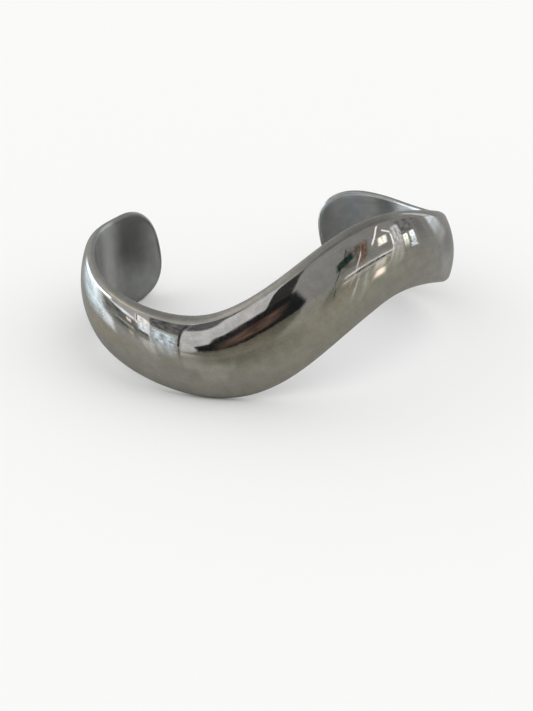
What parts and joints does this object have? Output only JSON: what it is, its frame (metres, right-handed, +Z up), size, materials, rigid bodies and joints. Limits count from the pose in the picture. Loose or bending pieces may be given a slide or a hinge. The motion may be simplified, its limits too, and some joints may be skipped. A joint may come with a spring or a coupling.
{
  "type": "open cuff bangle",
  "caption": "Open bangle of one wave-shaped band of polished steel, domed outside and flat inside, ending in wide rounded paddles either side of a gap.",
  "frame": {"origin": "middle of the bangle's outline seen from above, at the surface that it lies on", "axes": "+X to the crest's side across the wrist, -Y to the front of the band and +Y through the gap between the paddles, +Z up from the surface, along the wrist"},
  "size_m": [0.0662, 0.0494, 0.0281],
  "materials": {
    "polished_metal": "mirror-polished bare stainless steel, slightly smudged, with a softer brushed inside"
  },
  "bodies": {
    "root": {"cuff": "polished_metal"}
  },
  "joints": []
}
